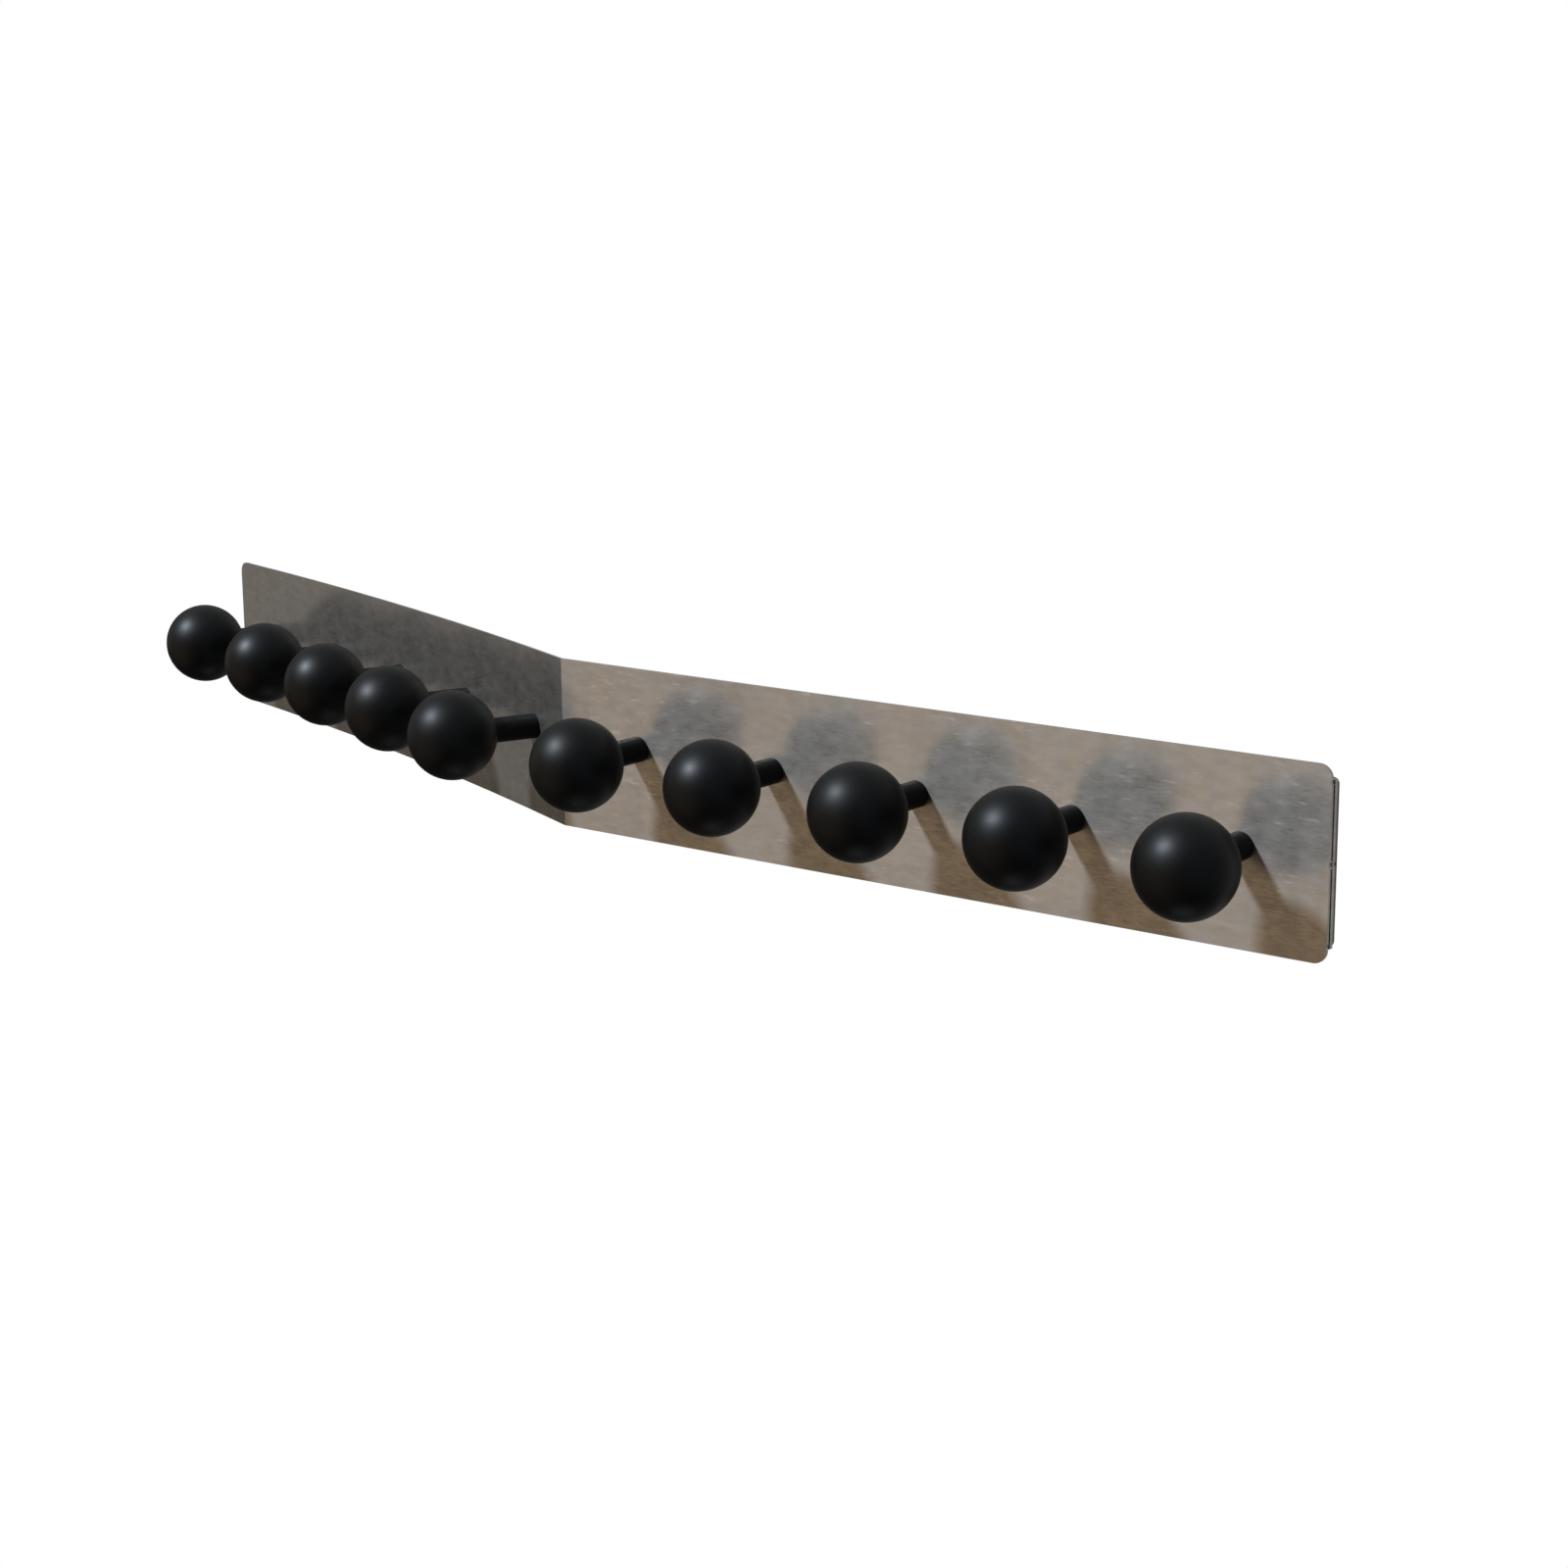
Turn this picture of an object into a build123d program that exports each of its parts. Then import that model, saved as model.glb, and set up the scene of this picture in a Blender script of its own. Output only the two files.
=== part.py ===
from build123d import *
import os
from math import cos, radians, sin, sqrt, tan

# Wall rack of ball knobs on a strip of brushed sheet that is folded once.
# The front strip is one sheet with a shallow return at each end. Behind it, one dark
# wall plate for each wing carries it on spacers. Each peg stands on the front sheet,
# is held by a countersunk screw from behind the wall plate, and takes a ball on a stud.
# Lengths are millimetres. The origin lies on the wall face behind the middle of the
# right wing, at mid height. X runs along the right wing, Y points into the wall, Z is up.

# Front sheet
plate_height = 94.0
sheet = 1.5
corner_radius = 7.0
fold_angle = 23.0
fold_radius = 1.0
fold_shift = 9.0
bow_radius = 3500.0

# Row of knobs
knob_count = 10
knob_pitch = 92.0
end_margin = 46.0
peg_rise = 3.0

# End returns, pressed back along a slotted line
slot_width = 1.3
middle_bridge = 3.6
end_bridge = 2.6
neck_radius = 2.2
neck_depth = 0.6
notch_radius = 0.9

# Wall plates
back_sheet = 2.0
back_corner = 3.0
service_gap = 4.0
fold_gap = 4.0
end_inset = 0.2
keyhole_radius = 5.0
keyhole_slot_radius = 2.4
keyhole_drop = 12.0
keyhole_centre = -6.0

# Pegs, balls and what joins them
peg_radius = 7.0
peg_chamfer = 0.5
ball_radius = 25.0
ball_reach = 50.0
seat_radius = 8.0
stud_radius = 4.0
stud_in_peg = 10.0
stud_in_ball = 14.0
screw_radius = 2.5
screw_head_radius = 4.7
screw_in_peg = 10.0
screw_recess = 0.1
socket_width = 3.0
socket_depth = 1.6
spacer_radius = 8.0

# Clearances
seat_gap = 0.05
thread_gap = 0.1
screw_clearance = 0.3
blind_end = 1.0
mouth_chamfer = 0.6
stud_chamfer = 0.5
drill_point = 118.0

# Cutters pass through a sheet with this many times its thickness
through = 4

strip_length = 2 * end_margin + (knob_count - 1) * knob_pitch
right_length = strip_length / 2 + fold_shift
left_length = strip_length / 2 - fold_shift
stand_off = sheet + service_gap + back_sheet
stations = [end_margin + i * knob_pitch - left_length for i in range(knob_count)]
fold_point = Vector(-right_length / 2, -stand_off, 0)
seat_depth = sqrt(ball_radius**2 - seat_radius**2)
ball_seat = ball_reach - seat_depth
return_height = plate_height - 2 * corner_radius
return_depth = sheet + service_gap - seat_gap


def station(along):
    """Plane on the front face at a developed distance from the fold, positive to the right.

    Its x runs along the strip to the right, its y points up and its z points out of the face.
    """
    if along >= 0:
        return Plane(fold_point + Vector(along, 0, 0), x_dir=(1, 0, 0), z_dir=(0, -1, 0))
    start = radians(fold_angle)
    turn = start + along / bow_radius
    place = fold_point + bow_radius * Vector(sin(turn) - sin(start), cos(turn) - cos(start), 0)
    return Plane(place, x_dir=(cos(turn), -sin(turn), 0), z_dir=(-sin(turn), -cos(turn), 0))


def face_line(begin, end, depth):
    """Line of one wing in plan, at a depth behind its front face."""
    points = [station(s).from_local_coords((0, 0, -depth)) for s in (begin, (begin + end) / 2, end)]
    if min(begin, end) >= 0:
        return Line(points[0], points[2])
    return ThreePointArc(*points)


def wing_slab(begin, end, depth, thickness, height):
    """Slab that follows one wing between two developed distances, behind its front face."""
    front = face_line(begin, end, depth)
    rear = face_line(end, begin, depth + thickness)
    outline = make_face(front + Line(front @ 1, rear @ 0) + rear + Line(rear @ 1, front @ 0))
    return extrude(outline, amount=height / 2, dir=(0, 0, 1), both=True)


def round_corners(solid, ends, depth, height, radius):
    """Rounds the corners that a slab has at the named developed distances."""
    corners = [
        station(s).from_local_coords((0, side * height / 2, -depth)) for s in ends for side in (-1, 1)
    ]
    edges = [solid.edges().sort_by_distance(corner)[0] for corner in corners]
    return fillet(edges, radius)


def end_frame(side):
    """Plane on the front face at one end of the strip, with its x pointing out of that end."""
    if side > 0:
        return station(right_length)
    plane = station(-left_length)
    return Plane(plane.origin, x_dir=-plane.x_dir, z_dir=plane.z_dir)


def turned(points):
    """Solid turned about Z from a half profile of radius and height pairs."""
    return revolve(Plane.XZ * make_face(Polyline(*points, close=True)), Axis.Z)


def end_return(side):
    """Shallow return at one end, which closes the gap down to the wall plate."""
    body = Pos(-sheet / 2, 0, -return_depth / 2) * Box(sheet, return_height, return_depth)
    return end_frame(side) * body


def return_cuts(side):
    """Slots of the pressed line, the necks of its bridges and the notch in the rear edge."""
    length = return_height / 2 - end_bridge - middle_bridge / 2
    middle = middle_bridge / 2 + length / 2
    slot = Box(through * sheet, length, slot_width)
    cuts = [Pos(0, way * middle, -sheet - slot_width / 2) * slot for way in (-1, 1)]
    neck = Cylinder(neck_radius, sheet + slot_width, align=(Align.CENTER, Align.CENTER, Align.MAX))
    reach = return_height / 2 - end_bridge / 2
    cuts += [Pos(neck_radius - neck_depth, y, 0) * neck for y in (-reach, 0, reach)]
    cuts.append(Pos(0, 0, -return_depth) * Rot(0, 90, 0) * Cylinder(notch_radius, through * sheet))
    return [end_frame(side) * cut for cut in cuts]


def front_plate():
    """Brushed strip with its fold, its bowed left wing, its end returns and its screw holes."""
    plate = wing_slab(0, right_length, 0, sheet, plate_height)
    plate += wing_slab(-left_length, 0, 0, sheet, plate_height)
    inner = fold_point + Vector(sheet * tan(radians(fold_angle) / 2), sheet, 0)
    plate = fillet(plate.edges().filter_by(Axis.Z).sort_by_distance(fold_point)[0], fold_radius + sheet)
    plate = fillet(plate.edges().filter_by(Axis.Z).sort_by_distance(inner)[0], fold_radius)
    plate = round_corners(plate, (right_length, -left_length), sheet / 2, plate_height, corner_radius)
    for side in (-1, 1):
        plate += end_return(side)
    for side in (-1, 1):
        plate -= return_cuts(side)
    hole = Pos(0, peg_rise, 0) * Cylinder(screw_radius + screw_clearance, through * sheet)
    plate -= [station(s) * hole for s in stations]
    return plate


def keyhole():
    """Cutter for a keyhole: a round entry for the screw's head and a slot above it."""
    depth = through * back_sheet
    entry = Cylinder(keyhole_radius, depth)
    slot = Pos(0, keyhole_drop / 2, 0) * Box(2 * keyhole_slot_radius, keyhole_drop, depth)
    top = Pos(0, keyhole_drop, 0) * Cylinder(keyhole_slot_radius, depth)
    return Pos(0, keyhole_centre, 0) * (entry + slot + top)


def wall_plate(wing):
    """Dark plate behind one wing, with countersunk screw holes and two keyholes."""
    reach = sorted((wing * fold_gap, wing * ((right_length if wing > 0 else left_length) - end_inset)))
    depth = sheet + service_gap
    height = return_height
    plate = wing_slab(reach[0], reach[1], depth, back_sheet, height)
    plate = round_corners(plate, reach, depth + back_sheet / 2, height, back_corner)
    own = [s for s in stations if s * wing > 0]
    sink = turned(
        [
            (0, -stand_off - back_sheet),
            (screw_head_radius + screw_clearance + back_sheet, -stand_off - back_sheet),
            (screw_radius + screw_clearance, -stand_off + screw_head_radius - screw_radius),
            (screw_radius + screw_clearance, 0),
            (0, 0),
        ]
    )
    plate -= [station(s) * Pos(0, peg_rise, 0) * sink for s in own]
    opening = Pos(0, 0, -depth - back_sheet / 2) * keyhole()
    plate -= [station(s) * opening for s in (own[0] + knob_pitch / 2, own[-1] - knob_pitch / 2)]
    return plate


def spacer():
    """Ring between the wall plate and the front sheet, round one screw."""
    thickness = service_gap - 2 * seat_gap
    ring = Cylinder(spacer_radius, thickness) - Cylinder(screw_radius + screw_clearance, thickness)
    return Pos(0, 0, -sheet - service_gap / 2) * ring


def peg():
    """Round peg with a tapped hole at each end."""
    foot = seat_gap
    head = ball_seat - seat_gap
    screw_bore = screw_radius + thread_gap
    stud_bore = stud_radius + thread_gap
    outside = turned(
        [
            (0, foot),
            (peg_radius - peg_chamfer, foot),
            (peg_radius, foot + peg_chamfer),
            (peg_radius, head - peg_chamfer),
            (peg_radius - peg_chamfer, head),
            (0, head),
        ]
    )
    foot_bore = turned(
        [
            (0, foot - mouth_chamfer),
            (screw_bore + 2 * mouth_chamfer, foot - mouth_chamfer),
            (screw_bore, foot + mouth_chamfer),
            (screw_bore, foot + screw_in_peg + blind_end),
            (0, foot + screw_in_peg + blind_end),
        ]
    )
    head_bore = turned(
        [
            (0, head + mouth_chamfer),
            (stud_bore + 2 * mouth_chamfer, head + mouth_chamfer),
            (stud_bore, head - mouth_chamfer),
            (stud_bore, head - stud_in_peg - blind_end),
            (0, head - stud_in_peg - blind_end),
        ]
    )
    return outside - foot_bore - head_bore


def ball():
    """Turned ball with a flat seat towards the peg and a blind tapped hole."""
    bore = stud_radius + thread_gap
    floor = stud_in_ball + blind_end - seat_depth
    edge = ThreePointArc((0, ball_radius), (ball_radius, 0), (seat_radius, -seat_depth))
    inside = Polyline(
        (seat_radius, -seat_depth),
        (bore + mouth_chamfer, -seat_depth),
        (bore, mouth_chamfer - seat_depth),
        (bore, floor),
        (0, floor + bore / tan(radians(drill_point / 2))),
        (0, ball_radius),
    )
    return Pos(0, 0, ball_reach) * revolve(Plane.XZ * make_face(edge + inside), Axis.Z)


def stud():
    """Headless stud that joins one ball to its peg."""
    low = ball_seat - stud_in_peg
    high = ball_seat + stud_in_ball
    return turned(
        [
            (0, low),
            (stud_radius - stud_chamfer, low),
            (stud_radius, low + stud_chamfer),
            (stud_radius, high - stud_chamfer),
            (stud_radius - stud_chamfer, high),
            (0, high),
        ]
    )


def screw():
    """Countersunk screw with a six-sided socket, from the wall face into the peg."""
    face = screw_recess - stand_off
    tip = seat_gap + screw_in_peg
    body = turned(
        [
            (0, face),
            (screw_head_radius, face),
            (screw_radius, face + screw_head_radius - screw_radius),
            (screw_radius, tip - stud_chamfer),
            (screw_radius - stud_chamfer, tip),
            (0, tip),
        ]
    )
    across = RegularPolygon(socket_width / 2, 6, major_radius=False)
    return body - Pos(0, 0, face) * extrude(across, amount=socket_depth)


def at_pegs(shape):
    """Copies of one shape at every peg, as separate solids."""
    return [station(s) * Pos(0, peg_rise, 0) * shape for s in stations]


def group(shapes):
    """One node that holds like pieces as separate solids."""
    return Compound(children=shapes)


nodes = {
    "front_plate": front_plate(),
    "wall_plate_left": wall_plate(-1),
    "wall_plate_right": wall_plate(1),
    "spacers": group(at_pegs(spacer())),
    "peg_screws": group(at_pegs(screw())),
    "ball_studs": group(at_pegs(stud())),
}
for number, shape in enumerate(at_pegs(peg()), start=1):
    nodes[f"peg_{number:02d}"] = shape
for number, shape in enumerate(at_pegs(ball()), start=1):
    nodes[f"ball_knob_{number:02d}"] = shape

os.makedirs("parts", exist_ok=True)
for name, shape in nodes.items():
    export_step(shape, f"parts/{name}.step")
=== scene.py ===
"""Looks of a wall rack of ball knobs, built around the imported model.

The rack is one strip of brushed sheet with a shallow fold, two black wall plates behind it, and ten
black balls that stand out of it on round pegs. Lengths are in metres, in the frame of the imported
model: X runs along the right wing, Y points into the wall and Z is up.
"""

from __future__ import annotations

import logging
from dataclasses import dataclass
from enum import Enum
from math import asin, cos, degrees, pi, radians, sin, sqrt, tan
from typing import Any, Iterable, Sequence

import bmesh
import bpy
from mathutils import Matrix, Vector


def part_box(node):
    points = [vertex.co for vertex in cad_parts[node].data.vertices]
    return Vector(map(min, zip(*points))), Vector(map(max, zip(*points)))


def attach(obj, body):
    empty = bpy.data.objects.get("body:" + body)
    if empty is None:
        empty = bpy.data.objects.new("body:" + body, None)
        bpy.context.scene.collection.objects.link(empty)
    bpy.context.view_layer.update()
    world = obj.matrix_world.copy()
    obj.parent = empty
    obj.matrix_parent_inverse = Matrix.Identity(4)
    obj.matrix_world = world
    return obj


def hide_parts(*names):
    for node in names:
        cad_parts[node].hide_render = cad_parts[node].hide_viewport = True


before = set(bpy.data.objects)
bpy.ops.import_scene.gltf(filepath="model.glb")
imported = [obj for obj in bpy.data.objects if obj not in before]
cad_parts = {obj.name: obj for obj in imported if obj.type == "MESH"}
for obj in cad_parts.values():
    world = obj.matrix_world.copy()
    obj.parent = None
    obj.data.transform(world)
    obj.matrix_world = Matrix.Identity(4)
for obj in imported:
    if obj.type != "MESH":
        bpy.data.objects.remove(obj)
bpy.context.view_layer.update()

LOG = logging.getLogger("knob_rack")
MM = 0.001
BODY = "root"
KNOB_COUNT = 10
WHITE = (1.0, 1.0, 1.0)
NOISE_MIDDLE = 0.5

# Angles between faces, in degrees: shaded smooth up to, eased past, and flattened below
SMOOTH_ANGLE = 32.0
SHARP_ANGLE = 30.0
FLAT_ANGLE = 0.2

# Points closer than this become one, along a seam and where an outline meets its axis
SEAM_MERGE = 0.002 * MM
POLE_MERGE = 0.0005 * MM

# Thread sizes in pitches, and its profile as rises at the root (False) or on the crest (True)
THREAD_DEPTH = 0.61
THREAD_EASE = 0.4
THREAD_PROFILE = (
    (False, 0.0), (False, 0.12), (True, 0.46), (True, 0.58), (False, 0.92), (False, 1.0),
)

# Turns below a thread's lower end, and turns in all past its length, which are cut off
RUN_IN_TURNS = 1.5
SPARE_TURNS = 4

Colour = tuple[float, float, float]
Scale = tuple[float, float, float]
Span = tuple[float, float]
Outline = Sequence[tuple[float, float]]


class Slot(Enum):
    """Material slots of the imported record."""

    SHEET = "brushed_sheet"
    PLATE = "wall_plate_black"
    BALL = "ball_black"
    PEG = "peg_black"
    FASTENER = "fastener_steel"
    SPACER = "spacer_grey"


class Signal:
    """A shader socket that can be calculated with: each operator adds one Math node."""

    def __init__(self, recipe: "Recipe", socket: bpy.types.NodeSocket) -> None:
        """Wraps a socket.

        Args:
            recipe: The node tree that new nodes go to.
            socket: The output socket that holds the value.
        """
        self.recipe = recipe
        self.socket = socket

    def _math(self, operation: str, first: Any, second: Any) -> "Signal":
        """Adds one Math node and returns its result."""
        return self.recipe.add("ShaderNodeMath", {"operation": operation}, {0: first, 1: second})

    def __add__(self, other: Any) -> "Signal":
        """Sum."""
        return self._math("ADD", self, other)

    def __radd__(self, other: Any) -> "Signal":
        """Sum with a number on the left."""
        return self._math("ADD", other, self)

    def __sub__(self, other: Any) -> "Signal":
        """Difference."""
        return self._math("SUBTRACT", self, other)

    def __rsub__(self, other: Any) -> "Signal":
        """Difference from a number on the left."""
        return self._math("SUBTRACT", other, self)

    def __mul__(self, other: Any) -> "Signal":
        """Product."""
        return self._math("MULTIPLY", self, other)

    def __rmul__(self, other: Any) -> "Signal":
        """Product with a number on the left."""
        return self._math("MULTIPLY", other, self)

    def highest(self, other: Any) -> "Signal":
        """The larger of two values."""
        return self._math("MAXIMUM", self, other)

    def swing(self, amount: float) -> "Signal":
        """Distance of noise from its middle, scaled."""
        return (self - NOISE_MIDDLE) * amount

    def rise(self, start: float, end: float) -> "Signal":
        """Smooth step.

        Args:
            start: Value at which the result is 0.
            end: Value at which the result is 1.

        Returns:
            The step, between 0 and 1.
        """
        settings = {"interpolation_type": "SMOOTHSTEP"}
        sockets = {"Value": self, "From Min": start, "From Max": end}
        return self.recipe.add("ShaderNodeMapRange", settings, sockets)


class Recipe:
    """A node tree that is written as expressions."""

    def __init__(self, tree: bpy.types.NodeTree) -> None:
        """Empties a tree.

        Args:
            tree: The node tree of a material or of the world.
        """
        self.tree = tree
        self.tree.nodes.clear()

    def add(
        self,
        kind: str,
        settings: dict[str, Any] | None = None,
        sockets: dict[int | str, Any] | None = None,
        output: int | str | None = 0,
    ) -> Signal | None:
        """Adds one node.

        Args:
            kind: Node type.
            settings: Properties, set before the sockets.
            sockets: Values, or signals to link, by the name or number of the input.
            output: Name or number of the output that the signal reads, or None for a last node.

        Returns:
            The chosen output, or None.
        """
        node = self.tree.nodes.new(kind)
        for name, value in (settings or {}).items():
            setattr(node, name, value)
        for name, value in (sockets or {}).items():
            if isinstance(value, Signal):
                self.tree.links.new(value.socket, node.inputs[name])
            else:
                node.inputs[name].default_value = _rgba(node.inputs[name], value)
        return None if output is None else Signal(self, node.outputs[output])

    def place(self, scale: Sequence[float]) -> Signal:
        """Object coordinates, scaled along each axis.

        Args:
            scale: Factor along X, Y and Z, per metre.

        Returns:
            The scaled coordinates.
        """
        point = self.add("ShaderNodeTexCoord", output="Object")
        sockets = {0: point, 1: tuple(scale)}
        return self.add("ShaderNodeVectorMath", {"operation": "MULTIPLY"}, sockets)

    def noise(self, scale: Sequence[float], detail: float = 2.0, rough: float = 0.5) -> Signal:
        """Noise on Object coordinates.

        Args:
            scale: Factor along X, Y and Z, per metre.
            detail: Number of finer layers.
            rough: Share of each finer layer.

        Returns:
            Noise about one half.
        """
        sockets = {"Vector": self.place(scale), "Scale": 1.0, "Detail": detail, "Roughness": rough}
        return self.add("ShaderNodeTexNoise", {}, sockets)

    def tint(self, share: Any, first: Any, second: Any) -> Signal:
        """Mixes two colours.

        Args:
            share: Share of the second colour.
            first: Colour, or a signal that holds one.
            second: Colour, or a signal that holds one.

        Returns:
            The mixed colour.
        """
        sockets = {0: share, 6: first, 7: second}
        return self.add("ShaderNodeMix", {"data_type": "RGBA"}, sockets, output=2)

    def bump(self, height: Signal, depth: float, strength: float = 1.0) -> Signal:
        """Bump normal.

        Args:
            height: Height from 0 to 1.
            depth: What a height of 1 stands for, in metres.
            strength: How far the normal follows the height.

        Returns:
            The bent normal.
        """
        sockets = {"Strength": strength, "Distance": depth, "Height": height}
        return self.add("ShaderNodeBump", {}, sockets)

    def shader(self, **sockets: Any) -> Signal:
        """Adds a Principled shader.

        Args:
            **sockets: Values or signals by input name, with underscores for blanks.

        Returns:
            The shader.
        """
        named = {name.replace("_", " "): value for name, value in sockets.items()}
        return self.add("ShaderNodeBsdfPrincipled", {}, named)

    def surface(self, shader: Signal) -> None:
        """Ends a material with a shader."""
        self.add("ShaderNodeOutputMaterial", {}, {"Surface": shader}, output=None)


def _rgba(socket: bpy.types.NodeSocket, value: Any) -> Any:
    """Adds an alpha of 1 to a colour that goes to a colour socket."""
    return (*value, 1.0) if socket.type == "RGBA" and len(value) == 3 else value


def new_material(name: str) -> tuple[bpy.types.Material, Recipe]:
    """Makes an empty material.

    Args:
        name: The material's name.

    Returns:
        The material and the recipe that fills it.
    """
    material = bpy.data.materials.new(name)
    material.use_nodes = True
    return material, Recipe(material.node_tree)


@dataclass(frozen=True)
class BrushedSheet:
    """Satin sheet metal brushed along the strip, with blotches, small scuffs and painted reflection
    bands.

    Two shines lie over each other: the smooth ground mirrors what stands before it, and the brush
    lines spread light up and down. A span holds the noise values at which a mark starts and is
    full, and a swing says how far noise moves a value.
    """

    colour: Colour = (0.4, 0.386, 0.368)
    dark: Colour = (0.305, 0.296, 0.286)
    scuff: Colour = (0.6, 0.57, 0.52)
    brush_turn: float = 0.25
    brush_roughness: float = 0.6
    brush_swing: float = 0.1
    brush_anisotropy: float = 0.58
    ground_roughness: float = 0.185
    ground_swing: float = 0.12
    ground_anisotropy: float = 0.6
    ground_share: float = 0.57
    blotch_swing: float = 0.65
    hairline_swing: float = 0.5
    hairline: Scale = (160.0, 160.0, 1000.0)
    streak: Scale = (90.0, 90.0, 260.0)
    stroke: Scale = (90.0, 90.0, 420.0)
    blotch: Scale = (85.0, 85.0, 120.0)
    # Painted reflection: dark vertical bands in the colour, in place of reflections that the brush
    # lines smear up and down
    reflection_band: Scale = (95.0, 95.0, 11.0)
    worn: Scale = (14.0, 14.0, 20.0)
    tone_weights: tuple[float, float, float] = (0.4, 0.22, 0.38)
    tone_span: Span = (0.37, 0.63)
    reflection_band_span: Span = (0.5, 0.72)
    reflection_band_share: float = 0.35
    stroke_span: Span = (0.605, 0.73)
    worn_span: Span = (0.42, 0.6)
    scuff_share: float = 0.4
    relief_weights: tuple[float, float] = (0.6, 0.4)
    hairline_depth: float = 0.004 * MM

    def build(self) -> bpy.types.Material:
        """Writes the material."""
        material, recipe = new_material("brushed sheet")
        hairline = recipe.noise(self.hairline, detail=3.0, rough=0.6)
        streak = recipe.noise(self.streak, detail=2.0, rough=0.55)
        blotch = recipe.noise(self.blotch, detail=4.0, rough=0.6)
        # Painted reflection: a mask of dark vertical bands that stand in for reflections smeared up
        # and down
        reflection_band = recipe.noise(self.reflection_band, detail=2.0).rise(*self.reflection_band_span)
        worn = recipe.noise(self.worn, detail=1.0).rise(*self.worn_span)
        scuff = recipe.noise(self.stroke, detail=2.0, rough=0.6).rise(*self.stroke_span) * worn
        fine, middle, broad = self.tone_weights
        tone = (hairline * fine + streak * middle + blotch * broad).rise(*self.tone_span)
        colour = recipe.tint(tone, self.dark, self.colour)
        # Painted reflection: darkens the colour in the vertical bands
        colour = recipe.tint(reflection_band * self.reflection_band_share, colour, self.dark)
        colour = recipe.tint(scuff * self.scuff_share, colour, self.scuff)
        fine, middle = self.relief_weights
        normal = recipe.bump(hairline * fine + streak * middle, self.hairline_depth)
        brush = recipe.shader(
            Base_Color=colour,
            Metallic=1.0,
            Roughness=self.brush_roughness + streak.swing(self.brush_swing),
            Anisotropic=self.brush_anisotropy,
            Anisotropic_Rotation=self.brush_turn,
            Normal=normal,
        )
        ground = recipe.shader(
            Base_Color=colour,
            Metallic=1.0,
            Roughness=self.ground_roughness + blotch.swing(self.ground_swing),
            Anisotropic=self.ground_anisotropy,
            Anisotropic_Rotation=self.brush_turn,
            Normal=normal,
        )
        share = self.ground_share + blotch.swing(self.blotch_swing)
        share = share + hairline.swing(self.hairline_swing)
        recipe.surface(recipe.add("ShaderNodeMixShader", {}, {0: share, 1: brush, 2: ground}))
        return material


@dataclass(frozen=True)
class SatinBlack:
    """Moulded or coated black with a faint grain and a soft sheen."""

    name: str
    colour: Colour
    roughness: float
    shine: float = 0.5
    sheen: Colour = (0.88, 0.94, 1.0)
    grain: float = 900.0
    grain_depth: float = 0.01 * MM
    grain_strength: float = 0.5
    grain_swing: float = 0.06
    cloud: float = 42.0
    cloud_span: Span = (0.42, 0.75)
    cloud_swing: float = 0.14
    dust: float = 0.25
    dust_colour: Colour = (0.02, 0.02, 0.021)
    speck: float = 520.0
    speck_span: Span = (0.7, 0.78)
    speck_share: float = 0.12

    def build(self) -> bpy.types.Material:
        """Writes the material."""
        material, recipe = new_material(self.name)
        grain = recipe.noise((self.grain,) * 3, detail=2.0)
        cloud = recipe.noise((self.cloud,) * 3, detail=4.0, rough=0.6)
        specks = recipe.noise((self.speck,) * 3, detail=1.0).rise(*self.speck_span)
        dusty = cloud.rise(*self.cloud_span) * self.dust + specks * self.speck_share
        colour = recipe.tint(dusty, self.colour, self.dust_colour)
        roughness = self.roughness + cloud.swing(self.cloud_swing) + grain.swing(self.grain_swing)
        shader = recipe.shader(
            Base_Color=colour,
            Roughness=roughness,
            Specular_IOR_Level=self.shine,
            Specular_Tint=self.sheen,
            Normal=recipe.bump(grain, self.grain_depth, self.grain_strength),
        )
        recipe.surface(shader)
        return material


@dataclass(frozen=True)
class BrightSteel:
    """Zinc plated steel with fine turning marks."""

    colour: Colour = (0.6, 0.6, 0.61)
    dark: Colour = (0.5, 0.5, 0.5)
    roughness: float = 0.3
    mottle: float = 600.0
    mottle_span: Span = (0.35, 0.7)
    mottle_swing: float = 0.2
    grain: float = 2500.0
    grain_depth: float = 0.004 * MM

    def build(self) -> bpy.types.Material:
        """Writes the material."""
        material, recipe = new_material("bright steel")
        mottle = recipe.noise((self.mottle,) * 3, detail=3.0)
        grain = recipe.noise((self.grain,) * 3, detail=1.0)
        shader = recipe.shader(
            Base_Color=recipe.tint(mottle.rise(*self.mottle_span), self.dark, self.colour),
            Metallic=1.0,
            Roughness=self.roughness + mottle.swing(self.mottle_swing),
            Normal=recipe.bump(grain, self.grain_depth),
        )
        recipe.surface(shader)
        return material


@dataclass(frozen=True)
class GreySpacer:
    """Plain moulded plastic."""

    colour: Colour = (0.25, 0.25, 0.25)
    dark: Colour = (0.2, 0.2, 0.2)
    roughness: float = 0.5
    cloud: float = 300.0
    cloud_swing: float = 0.1
    cloud_depth: float = 0.01 * MM

    def build(self) -> bpy.types.Material:
        """Writes the material."""
        material, recipe = new_material("grey spacer")
        cloud = recipe.noise((self.cloud,) * 3, detail=3.0)
        shader = recipe.shader(
            Base_Color=recipe.tint(cloud, self.dark, self.colour),
            Roughness=self.roughness + cloud.swing(self.cloud_swing),
            Normal=recipe.bump(cloud, self.cloud_depth),
        )
        recipe.surface(shader)
        return material


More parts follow.
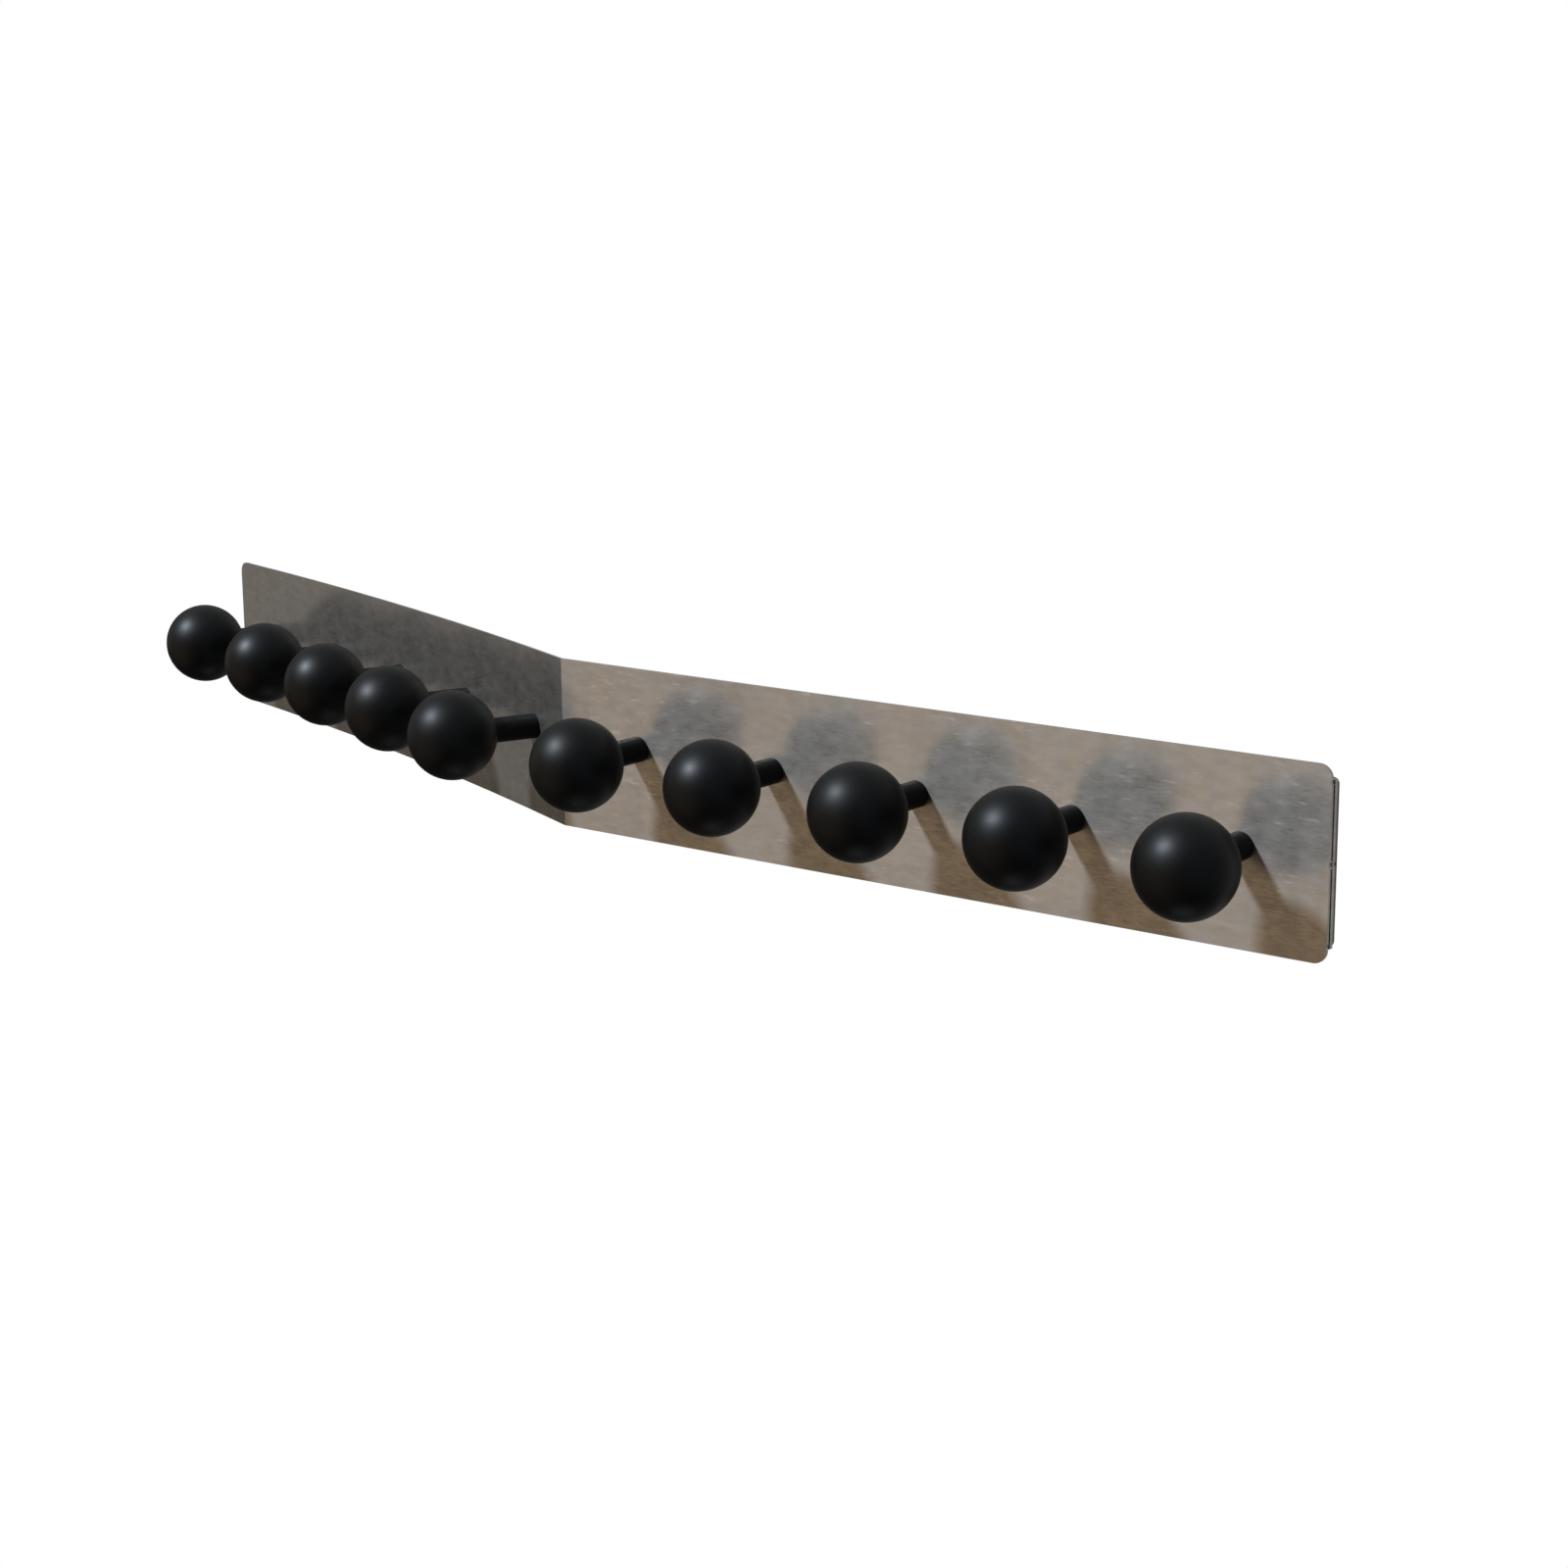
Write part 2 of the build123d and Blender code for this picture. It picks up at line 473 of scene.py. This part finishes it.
POWDER_COAT = SatinBlack(
    name="black powder coat",
    colour=(0.012, 0.012, 0.013),
    roughness=0.55,
    grain=1400.0,
    grain_depth=0.03 * MM,
)
BALL_BLACK = SatinBlack(
    name="satin black ball",
    colour=(0.0007, 0.0007, 0.0008),
    roughness=0.46,
    shine=0.22,
    dust=0.01,
)
PEG_BLACK = SatinBlack(
    name="matte black peg",
    colour=(0.003, 0.003, 0.0032),
    roughness=0.5,
    shine=0.15,
    grain=1500.0,
    dust=0.1,
)


def finish_piece(
    shape: bmesh.types.BMesh,
    name: str,
    material: bpy.types.Material,
    nodes: Iterable[str],
) -> bpy.types.Object:
    """Turns a shape into a piece that rides with the rack and stands for CAD nodes.

    Args:
        shape: The shape, which is freed.
        name: The piece's name.
        material: Its material.
        nodes: The CAD nodes that the piece replaces.

    Returns:
        The new object.
    """
    mesh = bpy.data.meshes.new(name)
    shape.to_mesh(mesh)
    shape.free()
    for face in mesh.polygons:
        face.use_smooth = True
    mesh.set_sharp_from_angle(angle=radians(SMOOTH_ANGLE))
    mesh.materials.append(material)
    piece = bpy.data.objects.new(name, mesh)
    bpy.context.scene.collection.objects.link(piece)
    weighted = piece.modifiers.new("even shading", "WEIGHTED_NORMAL")
    weighted.keep_sharp = True
    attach(piece, BODY)
    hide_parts(*nodes)
    LOG.info("%s: %d faces", name, len(mesh.polygons))
    return piece


def arc(
    radius: float, start: float, end: float, count: int, centre: tuple[float, float] = (0, 0)
) -> Outline:
    """Points on an arc in the radius and height plane.

    Args:
        radius: Radius of the arc.
        start: First angle in degrees, from the radius axis.
        end: Last angle in degrees.
        count: Number of spans.
        centre: Centre as radius and height.

    Returns:
        The points, ends included.
    """
    turns = [radians(start + (end - start) * i / count) for i in range(count + 1)]
    return [(centre[0] + radius * cos(t), centre[1] + radius * sin(t)) for t in turns]


def turned(outline: Outline, steps: int) -> bmesh.types.BMesh:
    """Turns a half outline about Z.

    Args:
        outline: Points as radius and height, in order.
        steps: Number of steps in a full turn.

    Returns:
        The closed shape.
    """
    shape = bmesh.new()
    verts = [shape.verts.new((r, 0, z)) for r, z in outline]
    edges = [shape.edges.new(pair) for pair in zip(verts, verts[1:])]
    bmesh.ops.spin(
        shape, geom=verts + edges, cent=(0, 0, 0), axis=(0, 0, 1), angle=2 * pi, steps=steps,
        use_merge=True,
    )
    bmesh.ops.remove_doubles(shape, verts=shape.verts, dist=POLE_MERGE)
    bmesh.ops.recalc_face_normals(shape, faces=shape.faces)
    return shape


def placed_copies(shape: bmesh.types.BMesh, places: Sequence[Matrix]) -> bmesh.types.BMesh:
    """Copies one shape to several places, within one mesh.

    Args:
        shape: The shape at the origin, which is used up.
        places: Where the copies go.

    Returns:
        The shape that holds all copies.
    """
    source = shape.verts[:] + shape.edges[:] + shape.faces[:]
    for place in places[1:]:
        made = bmesh.ops.duplicate(shape, geom=source)["geom"]
        verts = [item for item in made if isinstance(item, bmesh.types.BMVert)]
        bmesh.ops.transform(shape, matrix=place, verts=verts)
    first = [item for item in source if isinstance(item, bmesh.types.BMVert)]
    bmesh.ops.transform(shape, matrix=places[0], verts=first)
    return shape


def threaded(radius: float, pitch: float, low: float, high: float, steps: int) -> bmesh.types.BMesh:
    """Threaded rod along Z with eased ends.

    Args:
        radius: Outer radius.
        pitch: Rise of one turn.
        low: Height of the lower end.
        high: Height of the upper end.
        steps: Number of steps in a turn.

    Returns:
        The closed shape.
    """
    root, ease = radius - THREAD_DEPTH * pitch, THREAD_EASE * pitch
    shape = bmesh.new()
    start = low - RUN_IN_TURNS * pitch
    profile = [(radius if crest else root, start + rise * pitch) for crest, rise in THREAD_PROFILE]
    verts = [shape.verts.new((r, 0, z)) for r, z in profile]
    edges = [shape.edges.new(pair) for pair in zip(verts, verts[1:])]
    turns = int((high - low) / pitch) + SPARE_TURNS
    bmesh.ops.spin(
        shape, geom=verts + edges, cent=(0, 0, 0), axis=(0, 0, 1), dvec=(0, 0, pitch / steps),
        angle=2 * pi * turns, steps=turns * steps,
    )
    bmesh.ops.remove_doubles(shape, verts=shape.verts, dist=SEAM_MERGE)
    for height, side, inward in ((low, -1, ease), (high, 1, -ease)):
        everything = shape.verts[:] + shape.edges[:] + shape.faces[:]
        cut = bmesh.ops.bisect_plane(
            shape, geom=everything, plane_co=(0, 0, height + inward), plane_no=(0, 0, side),
            clear_outer=True,
        )["geom_cut"]
        rim = [item for item in cut if isinstance(item, bmesh.types.BMEdge)]
        made = bmesh.ops.extrude_edge_only(shape, edges=rim)["geom"]
        end_verts = [item for item in made if isinstance(item, bmesh.types.BMVert)]
        end_edges = [item for item in made if isinstance(item, bmesh.types.BMEdge)]
        narrow = Matrix.Diagonal((1 - ease / radius, 1 - ease / radius, 1, 1))
        outward = Matrix.Translation((0, 0, -inward))
        bmesh.ops.transform(shape, matrix=outward @ narrow, verts=end_verts)
        bmesh.ops.contextual_create(shape, geom=end_edges)
    bmesh.ops.recalc_face_normals(shape, faces=shape.faces)
    return shape


def eased_copy(node: str, ease: float) -> bmesh.types.BMesh:
    """Copy of a CAD node with its edges eased by a small bevel.

    Args:
        node: Name of the CAD node.
        ease: Width of the bevel.

    Returns:
        The eased shape.
    """
    shape = bmesh.new()
    shape.from_mesh(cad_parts[node].data)
    bmesh.ops.remove_doubles(shape, verts=shape.verts, dist=SEAM_MERGE)
    bmesh.ops.dissolve_limit(
        shape, angle_limit=radians(FLAT_ANGLE), verts=shape.verts, edges=shape.edges
    )
    sharp = radians(SHARP_ANGLE)
    corners = [e for e in shape.edges if e.is_manifold and e.calc_face_angle() > sharp]
    bmesh.ops.bevel(
        shape, geom=corners, offset=ease, offset_type="OFFSET", segments=2, profile=0.5,
        affect="EDGES", clamp_overlap=True, material=-1,
    )
    return shape


@dataclass
class KnobSizes:
    """Sizes that every knob shares."""

    ball_radius: float = 25 * MM
    seat_radius: float = 8 * MM
    ball_reach: float = 50 * MM
    peg_radius: float = 7 * MM
    peg_chamfer: float = 0.5 * MM
    seat_gap: float = 0.05 * MM
    stud_radius: float = 4 * MM
    stud_in_peg: float = 10 * MM
    stud_in_ball: float = 14 * MM
    stud_pitch: float = 1.25 * MM
    screw_radius: float = 2.5 * MM
    screw_in_peg: float = 10 * MM
    screw_pitch: float = 0.8 * MM
    screw_head_radius: float = 4.7 * MM
    screw_recess: float = 0.1 * MM
    socket_width: float = 3 * MM
    socket_depth: float = 1.6 * MM
    thread_gap: float = 0.1 * MM
    blind_end: float = 1 * MM
    mouth_chamfer: float = 0.6 * MM
    drill_point: float = 118.0
    stand_off: float = 7.5 * MM
    ball_spans: int = 88
    ball_steps: int = 128
    ease_spans: int = 4
    peg_steps: int = 64

    @property
    def ball_seat(self) -> float:
        """Height of the ball's flat seat above the sheet."""
        return self.ball_reach - sqrt(self.ball_radius**2 - self.seat_radius**2)


@dataclass
class Knob:
    """One ball on its peg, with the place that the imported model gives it."""

    number: int
    sizes: KnobSizes

    @property
    def label(self) -> str:
        """Two digits, from 01 at the far left."""
        return f"{self.number:02d}"

    @property
    def place(self) -> Matrix:
        """Matrix from a frame with Z out of the sheet, and its origin on the peg's foot."""
        low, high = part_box(f"peg_{self.label}")
        middle = (low + high) / 2
        corner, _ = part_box(f"ball_knob_{self.label}")
        centre = corner + Vector((self.sizes.ball_radius,) * 3)
        out = (centre - middle).normalized()
        across = Vector((0, 0, 1)).cross(out)
        turn = Matrix((across, Vector((0, 0, 1)), out)).transposed().to_4x4()
        return Matrix.Translation(centre - out * self.sizes.ball_reach) @ turn

    def ball(self, material: bpy.types.Material) -> bpy.types.Object:
        """Makes the ball, with its flat seat, eased rim and blind tapped hole.

        Args:
            material: The ball's material.

        Returns:
            The piece.
        """
        size = self.sizes
        bore = size.stud_radius + size.thread_gap
        seat = size.ball_seat - size.ball_reach
        floor = seat + size.stud_in_ball + size.blind_end
        rim = degrees(asin(size.seat_radius / size.ball_radius)) - 90
        outline = [(0, floor + bore / tan(radians(size.drill_point / 2))), (bore, floor)]
        outline += [(bore, seat + size.mouth_chamfer), (bore + size.mouth_chamfer, seat)]
        outline += arc(size.ball_radius, rim, 90, size.ball_spans)
        shape = turned(outline, size.ball_steps)
        centre = self.place @ Matrix.Translation((0, 0, size.ball_reach))
        bmesh.ops.transform(shape, matrix=centre, verts=shape.verts)
        nodes = [f"ball_knob_{self.label}"]
        return finish_piece(shape, f"ball_{self.label}", material, nodes)

    def peg(self, material: bpy.types.Material) -> bpy.types.Object:
        """Makes the peg, with eased ends and its two tapped holes.

        Args:
            material: The peg's material.

        Returns:
            The piece.
        """
        size = self.sizes
        foot, head = size.seat_gap, size.ball_seat - size.seat_gap
        low, high = size.screw_radius + size.thread_gap, size.stud_radius + size.thread_gap
        ease, mouth = size.peg_chamfer, size.mouth_chamfer
        lower_end = foot + size.screw_in_peg + size.blind_end
        upper_end = head - size.stud_in_peg - size.blind_end
        outline = [(0, lower_end), (low, lower_end), (low, foot + mouth), (low + mouth, foot)]
        outline += arc(ease, -90, 0, size.ease_spans, (size.peg_radius - ease, foot + ease))
        outline += arc(ease, 0, 90, size.ease_spans, (size.peg_radius - ease, head - ease))
        outline += [(high + mouth, head), (high, head - mouth), (high, upper_end), (0, upper_end)]
        shape = turned(outline, size.peg_steps)
        bmesh.ops.transform(shape, matrix=self.place, verts=shape.verts)
        return finish_piece(shape, f"shaft_{self.label}", material, [f"peg_{self.label}"])


@dataclass
class Fasteners:
    """Screws, studs and spacers, one of each for every knob."""

    places: Sequence[Matrix]
    sizes: KnobSizes
    stud_steps: int = 32
    screw_steps: int = 24
    neck_lap: float = 0.3 * MM
    head_edge: float = 0.3 * MM
    head_lap: float = 0.2 * MM
    head_root: float = 0.85
    head_steps: int = 24
    socket_sides: int = 6
    spacer_ease: float = 0.2 * MM

    def studs(self, material: bpy.types.Material) -> bpy.types.Object:
        """Makes the threaded studs between the pegs and the balls.

        Args:
            material: Their material.

        Returns:
            The piece that holds them all.
        """
        size = self.sizes
        low = size.ball_seat - size.stud_in_peg
        high = size.ball_seat + size.stud_in_ball
        shape = threaded(size.stud_radius, size.stud_pitch, low, high, self.stud_steps)
        copies = placed_copies(shape, self.places)
        return finish_piece(copies, "studs", material, ["ball_studs"])

    def screws(self, material: bpy.types.Material) -> bpy.types.Object:
        """Makes the countersunk screws from the wall face into the pegs.

        Args:
            material: Their material.

        Returns:
            The piece that holds them all.
        """
        size = self.sizes
        face = size.screw_recess - size.stand_off
        neck = face + size.screw_head_radius - size.screw_radius
        start = neck - self.neck_lap
        end = size.screw_in_peg
        shape = threaded(size.screw_radius, size.screw_pitch, start, end, self.screw_steps)
        self._head(shape, face, neck)
        copies = placed_copies(shape, self.places)
        return finish_piece(copies, "screws", material, ["peg_screws"])

    def _head(self, shape: bmesh.types.BMesh, face: float, neck: float) -> None:
        """Adds a countersunk head with a hexagonal socket.

        Args:
            shape: The shape that the head is added to.
            face: Height of the head's flat face.
            neck: Height at which the cone ends in the shank.
        """
        size = self.sizes
        tip = neck + self.head_lap
        outline = [(size.screw_head_radius, face), (size.screw_head_radius, face + self.head_edge)]
        outline += [(self.head_root * size.screw_radius, tip), (0, tip)]
        head = turned(outline, self.head_steps)
        rim = [edge for edge in head.edges if edge.is_boundary]
        corner_radius = size.socket_width / sqrt(3)
        socket = bmesh.ops.create_circle(head, segments=self.socket_sides, radius=corner_radius)
        corners = socket["verts"]
        bmesh.ops.translate(head, vec=(0, 0, face), verts=corners)
        sides = list({edge for vert in corners for edge in vert.link_edges})
        bmesh.ops.subdivide_edges(head, edges=sides, cuts=self.head_steps // self.socket_sides - 1)
        hexagon = [edge for edge in head.edges if edge.is_wire]
        bmesh.ops.bridge_loops(head, edges=rim + hexagon)
        walls = bmesh.ops.extrude_edge_only(head, edges=hexagon)["geom"]
        floor = [item for item in walls if isinstance(item, bmesh.types.BMVert)]
        bmesh.ops.translate(head, vec=(0, 0, size.socket_depth), verts=floor)
        floor_edges = [item for item in walls if isinstance(item, bmesh.types.BMEdge)]
        bmesh.ops.contextual_create(head, geom=floor_edges)
        bmesh.ops.recalc_face_normals(head, faces=head.faces)
        part = bpy.data.meshes.new("screw head")
        head.to_mesh(part)
        head.free()
        shape.from_mesh(part)
        bpy.data.meshes.remove(part)

    def spacers(self, material: bpy.types.Material) -> bpy.types.Object:
        """Makes the rings between the wall plates and the strip.

        Args:
            material: Their material.

        Returns:
            The piece that holds them all.
        """
        shape = eased_copy("spacers", self.spacer_ease)
        return finish_piece(shape, "spacer_rings", material, ["spacers"])


@dataclass
class Plates:
    """The brushed strip in front and the two black plates on the wall."""

    strip_ease: float = 0.25 * MM
    plate_ease: float = 0.3 * MM

    def strip(self, material: bpy.types.Material) -> bpy.types.Object:
        """Makes the strip, with its edges eased as deburred sheet is.

        Args:
            material: Its material.

        Returns:
            The piece.
        """
        shape = eased_copy("front_plate", self.strip_ease)
        return finish_piece(shape, "front_sheet", material, ["front_plate"])

    def wall_plates(self, material: bpy.types.Material) -> list[bpy.types.Object]:
        """Makes both wall plates.

        Args:
            material: Their material.

        Returns:
            The two pieces.
        """
        pieces = []
        for side in ("left", "right"):
            node = f"wall_plate_{side}"
            shape = eased_copy(node, self.plate_ease)
            pieces.append(finish_piece(shape, f"back_plate_{side}", material, [node]))
        return pieces


@dataclass(frozen=True)
class Glow:
    """A part of the room that the metal mirrors.

    Its edge and core are cosines of the angle to its direction, where it begins and is full.
    """

    direction: tuple[float, float, float]
    edge: float
    core: float
    colour: Colour


CEILING = Glow(direction=(-0.1, 0.15, 1.0), edge=0.1, core=1.0, colour=(0.5, 0.5, 0.51))
WALL_BEHIND = Glow(direction=(0.2, 0.97, 0.1), edge=0.2, core=0.9, colour=(0.52, 0.51, 0.49))
WARM_ROOM = Glow(
    direction=(-0.47, -0.85, -0.24), edge=0.68, core=0.96, colour=(0.53, 0.385, 0.25)
)
PALE_CORNER = Glow(
    direction=(-0.985, -0.05, 0.04), edge=0.945, core=0.992, colour=(0.4, 0.355, 0.295)
)
WINDOW = Glow(direction=(0.95, -0.3, 0.05), edge=0.6, core=0.95, colour=(0.3, 0.31, 0.33))


@dataclass
class Studio:
    """Camera, key light, room and floor."""

    position: tuple[float, float, float] = (0.82785, -1.16979, 0.32957)
    yaw: float = 37.9904
    pitch: float = -12.7122
    roll: float = 0.483
    focal_pixels: float = 2967.3
    image_pixels: float = 1600.0
    sensor: float = 36.0
    key_from: tuple[float, float, float] = (-0.62, -0.73, 0.93)
    key_angle: float = 7.0
    key_strength: float = 4.75
    key_colour: Colour = (0.91, 0.96, 1.0)
    room: Colour = (0.06, 0.055, 0.05)
    zones: tuple[Glow, ...] = (CEILING, WALL_BEHIND, WARM_ROOM, PALE_CORNER, WINDOW)
    floor_height: float = -4.0
    floor_half: float = 0.7
    floor_colour: Colour = (0.8, 0.8, 0.79)

    def camera(self) -> None:
        """Sets the camera where the photo was taken from."""
        data = bpy.data.cameras.new("camera")
        data.lens = self.focal_pixels * self.sensor / self.image_pixels
        data.sensor_width = self.sensor
        camera = bpy.data.objects.new("camera", data)
        bpy.context.scene.collection.objects.link(camera)
        turn = Matrix.Rotation(radians(self.yaw), 4, "Z")
        turn = turn @ Matrix.Rotation(radians(90 + self.pitch), 4, "X")
        turn = turn @ Matrix.Rotation(radians(-self.roll), 4, "Z")
        camera.matrix_world = Matrix.Translation(self.position) @ turn
        bpy.context.scene.camera = camera

    def key(self) -> None:
        """Adds the key light, high on the left and in front."""
        data = bpy.data.lights.new("key light", "SUN")
        data.energy = self.key_strength
        data.color = self.key_colour
        data.angle = radians(self.key_angle)
        lamp = bpy.data.objects.new("key light", data)
        lamp.rotation_mode = "QUATERNION"
        lamp.rotation_quaternion = Vector(self.key_from).to_track_quat("Z", "Y")
        bpy.context.scene.collection.objects.link(lamp)

    def surroundings(self) -> None:
        """Fills the world: white to the camera, and a soft room for the light on the rack."""
        world = bpy.data.worlds.new("room")
        world.use_nodes = True
        bpy.context.scene.world = world
        recipe = Recipe(world.node_tree)
        direction = recipe.add("ShaderNodeTexCoord", output="Generated")
        colour: Any = self.room
        for zone in self.zones:
            settings = {"operation": "DOT_PRODUCT"}
            sockets = {0: direction, 1: tuple(Vector(zone.direction).normalized())}
            near = recipe.add("ShaderNodeVectorMath", settings, sockets, "Value")
            colour = recipe.tint(near.rise(zone.edge, zone.core), colour, zone.colour)
        seen = recipe.add("ShaderNodeLightPath", output="Is Camera Ray")
        through = recipe.add("ShaderNodeLightPath", output="Is Transmission Ray")
        colour = recipe.tint(seen.highest(through), colour, WHITE)
        back = recipe.add("ShaderNodeBackground", {}, {"Color": colour, "Strength": 1.0})
        recipe.add("ShaderNodeOutputWorld", {}, {"Surface": back}, output=None)

    def floor(self) -> None:
        """Lays a pale floor below the rack, white to the camera."""
        material, recipe = new_material("pale floor")
        seen = recipe.add("ShaderNodeLightPath", output="Is Camera Ray")
        matte = recipe.add("ShaderNodeBsdfDiffuse", {}, {"Color": self.floor_colour})
        white = recipe.add("ShaderNodeEmission", {}, {"Color": WHITE, "Strength": 1.0})
        mixed = recipe.add("ShaderNodeMixShader", {}, {0: seen, 1: matte, 2: white})
        recipe.add("ShaderNodeOutputMaterial", {}, {"Surface": mixed}, output=None)
        shape = bmesh.new()
        bmesh.ops.create_grid(shape, x_segments=1, y_segments=1, size=self.floor_half)
        bmesh.ops.translate(shape, vec=(0, 0, self.floor_height), verts=shape.verts)
        mesh = bpy.data.meshes.new("floor")
        shape.to_mesh(mesh)
        shape.free()
        mesh.materials.append(material)
        floor = bpy.data.objects.new("floor", mesh)
        bpy.context.scene.collection.objects.link(floor)


def main() -> None:
    """Builds the rack's pieces in order, then the studio."""
    logging.basicConfig(level=logging.INFO, format="%(name)s: %(message)s")
    bpy.context.scene.view_settings.view_transform = "Standard"
    studio = Studio()
    studio.camera()
    sizes = KnobSizes()
    knobs = [Knob(number, sizes) for number in range(1, KNOB_COUNT + 1)]
    steel = BrightSteel().build()
    plates = Plates()
    plates.strip(BrushedSheet().build())
    plates.wall_plates(POWDER_COAT.build())
    ball_black = BALL_BLACK.build()
    peg_black = PEG_BLACK.build()
    for knob in knobs:
        knob.peg(peg_black)
        knob.ball(ball_black)
    fasteners = Fasteners([knob.place for knob in knobs], sizes)
    fasteners.studs(steel)
    fasteners.screws(steel)
    fasteners.spacers(GreySpacer().build())
    studio.key()
    studio.surroundings()
    studio.floor()


if __name__ == "__main__":
    main()
